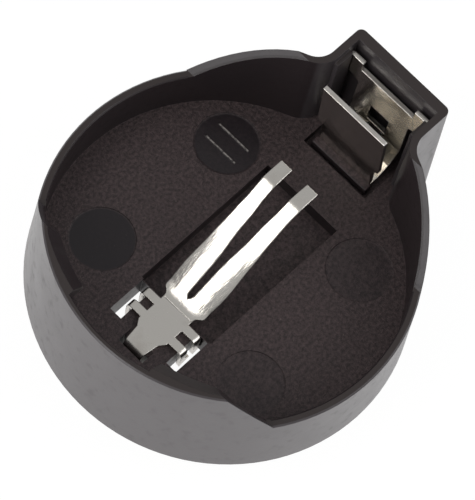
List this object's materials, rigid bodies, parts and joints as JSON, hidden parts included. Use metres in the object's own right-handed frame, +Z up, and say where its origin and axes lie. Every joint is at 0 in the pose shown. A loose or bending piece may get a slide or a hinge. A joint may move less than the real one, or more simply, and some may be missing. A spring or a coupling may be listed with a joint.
{
  "type": "coin cell holder",
  "caption": "Round board-mounted holder for a 20 mm coin cell, with a moulded cup, snap lips, a nose and folded sheet contacts on solder pins.",
  "frame": {"origin": "middle of the round cup on the face that sits on the circuit board", "axes": "+X toward the nose that holds the positive contact, +Z up out of the open cup, +Y to the left when looking along +X"},
  "size_m": [0.0248, 0.0222, 0.0122],
  "materials": {
    "housing": "fine satin",
    "negative_contact": "bright nickel plate",
    "positive_contact": "bright nickel plate"
  },
  "bodies": {
    "root": {"housing": "housing", "negative_contact": "negative_contact", "positive_contact": "positive_contact"}
  },
  "joints": []
}
